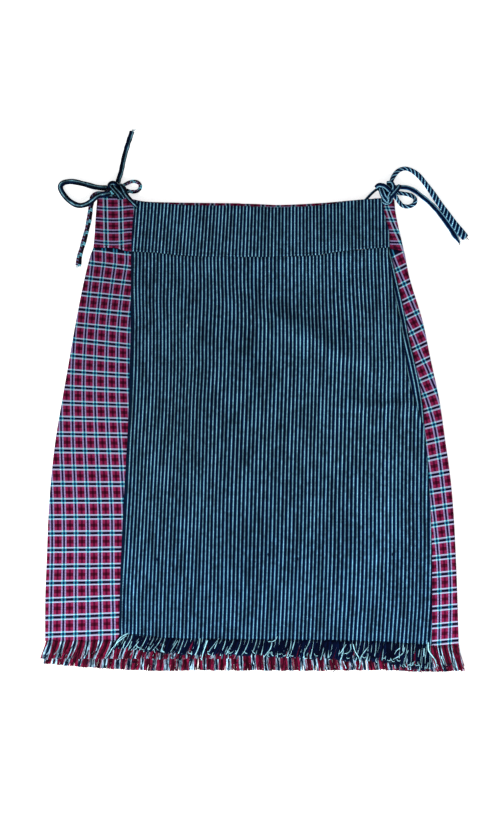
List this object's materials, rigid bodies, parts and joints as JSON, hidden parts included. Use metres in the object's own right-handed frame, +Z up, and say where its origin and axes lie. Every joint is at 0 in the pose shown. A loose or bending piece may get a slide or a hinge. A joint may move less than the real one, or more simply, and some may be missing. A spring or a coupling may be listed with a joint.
{
  "type": "wrap skirt with fringed hem",
  "caption": "Two-layer wrap skirt of handwoven cotton laid flat: striped apron front over a checked wrap, waistbands, knotted side ties and fringed hem.",
  "frame": {"origin": "centre of the skirt without its free ties, on the surface that it lies on", "axes": "+X to the right seen from the front, +Y from the hem to the waist, +Z up from the surface through the back layer to the front"},
  "size_m": [0.5069, 0.6479, 0.0119],
  "materials": {
    "checked_cotton": "plain-woven red and navy check with white lines, matt",
    "striped_cotton": "plain-woven navy with fine pale blue warp stripes, matt",
    "striped_yarn": "loose navy and pale blue cotton threads",
    "checked_yarn": "loose red, navy and white cotton threads",
    "striped_tie": "turned cloth tube, navy with pale blue stripes",
    "checked_tie": "turned cloth tube, red, navy and white check"
  },
  "bodies": {
    "root": {"wrap_panel": "checked_cotton", "wrap_waistband": "checked_cotton", "apron_panel": "striped_cotton", "apron_waistband": "striped_cotton", "apron_fringe": "striped_yarn", "back_fringe": "checked_yarn", "left_flap_fringe": "checked_yarn", "right_flap_fringe": "checked_yarn", "left_knot": "striped_tie", "right_knot": "striped_tie", "left_long_loop": "striped_tie", "left_short_loop": "checked_tie", "left_upper_end": "striped_tie", "left_lower_end": "checked_tie", "right_ring_loop": "striped_tie", "right_bias_end": "striped_tie", "right_plain_end": "striped_tie"}
  },
  "joints": []
}
